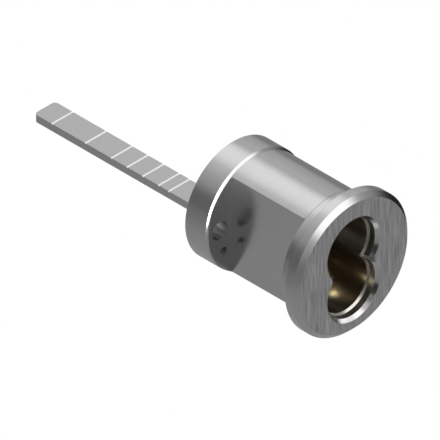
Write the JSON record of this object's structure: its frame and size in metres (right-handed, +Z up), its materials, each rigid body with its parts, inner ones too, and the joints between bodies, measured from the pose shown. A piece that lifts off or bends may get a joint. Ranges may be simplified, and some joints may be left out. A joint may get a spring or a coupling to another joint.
{
  "type": "rim cylinder housing",
  "caption": "Round lock cylinder body with a chamfered head, a barrel with one flat side, figure-eight core socket and a flat scored tailpiece that turns behind it.",
  "frame": {"origin": "on the cylinder's axis, in the plane of the head's rear face, which seats on the door", "axes": "+Y from the head along the cylinder's axis to the tailpiece, +Z up, +X to the right as seen from the front"},
  "size_m": [0.035, 0.0942, 0.035],
  "materials": {
    "satin_plated_brass": "satin nickel plate, brushed on the face, with bare brass inside the socket",
    "plate_brass": "satin plate",
    "screw_steel": "bright zinc",
    "driver_brass": "bare turned brass",
    "pin_steel": "ground steel",
    "tailpiece_steel": "satin zinc plate"
  },
  "bodies": {
    "cylinder": {"housing": "satin_plated_brass", "retainer_plate": "plate_brass", "retainer_screws": "screw_steel"},
    "driver": {"tailpiece_driver": "driver_brass", "drive_pins": "pin_steel", "tailpiece": "tailpiece_steel", "tailpiece_pin": "pin_steel"}
  },
  "joints": [
    {"name": "tailpiece_turn", "type": "hinge", "parent": "cylinder", "child": "driver", "pos_m": [0, 0.0277, -0.00618], "axis": [0, 1, 0], "continuous": true}
  ]
}
